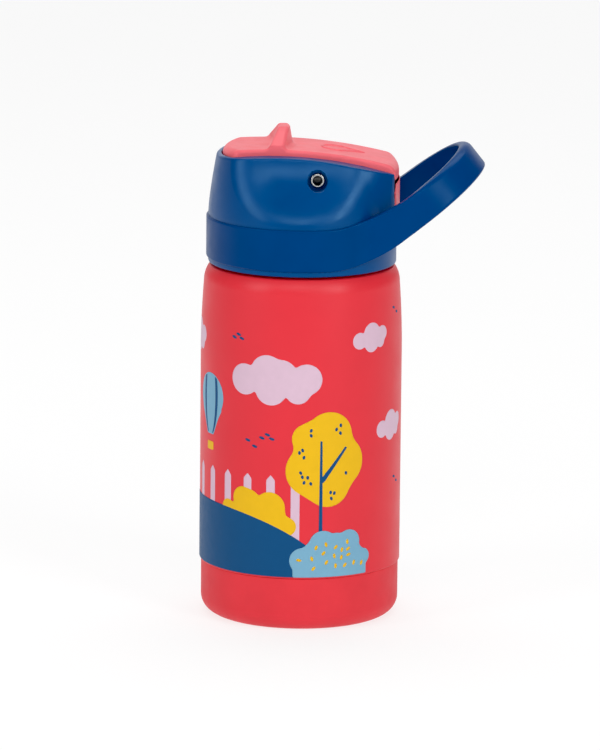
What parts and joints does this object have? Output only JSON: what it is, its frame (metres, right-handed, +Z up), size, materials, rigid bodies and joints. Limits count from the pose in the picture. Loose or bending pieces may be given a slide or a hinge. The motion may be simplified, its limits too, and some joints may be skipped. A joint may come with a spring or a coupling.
{
  "type": "kids water bottle",
  "caption": "Insulated steel straw bottle for a child, with a screw lid, a sloping carry loop, a flip cover with a thumb fin and a fold-down spout.",
  "frame": {"origin": "centre of the flat underside, on the bottle's axis", "axes": "+Z up along the bottle's axis, -X the drinking side, +X the carry loop"},
  "size_m": [0.1014, 0.072, 0.1774],
  "materials": {
    "painted_steel": "satin powder coat with a printed picture",
    "steel": "electropolished",
    "pin_steel": "polished",
    "boot": "satin",
    "foot_ring": "matt",
    "silicone": "matt, translucent white",
    "core_plastic": "fine moulded texture",
    "lid_plastic": "satin moulded",
    "handle_plastic": "satin moulded",
    "coral_plastic": "soft satin",
    "straw_plastic": "clear, slightly frosted"
  },
  "bodies": {
    "bottle": {"outer_shell": "painted_steel", "inner_liner": "steel", "shell_floor": "steel", "getter_cap": "steel", "base_boot": "boot", "foot_ring": "foot_ring", "neck_thread": "steel"},
    "gasket": {"neck_gasket": "silicone"},
    "lid": {"lid_core": "core_plastic", "lid_housing": "lid_plastic", "carry_handle": "handle_plastic", "rear_plate": "coral_plastic", "hinge_pin": "pin_steel", "mouthpiece_base": "silicone", "straw_collar": "core_plastic", "drinking_straw": "straw_plastic", "vent_valve": "silicone"},
    "cover": {"flip_cover": "coral_plastic", "pinch_pad": "silicone"},
    "spout": {"mouthpiece_spout": "silicone"}
  },
  "joints": [
    {"name": "lid_lift", "type": "slide", "parent": "bottle", "child": "gasket", "axis": [0, 0, 1], "range_m": [0, 0.14]},
    {"name": "lid_turn", "type": "hinge", "parent": "gasket", "child": "lid", "pos_m": [0, 0, 0.1279], "axis": [0, 0, 1], "range_deg": [0, 504]},
    {"name": "cover_flip", "type": "hinge", "parent": "lid", "child": "cover", "pos_m": [0.0052, 0, 0.1607], "axis": [0, 1, 0], "range_deg": [0, 88]},
    {"name": "spout_rise", "type": "hinge", "parent": "lid", "child": "spout", "pos_m": [-0.004, 0, 0.156], "axis": [0, 1, 0], "range_deg": [0, 85]}
  ],
  "couplings": [
    {"joint": "spout_rise", "follows": "cover_flip", "ratio": 0.965}
  ]
}
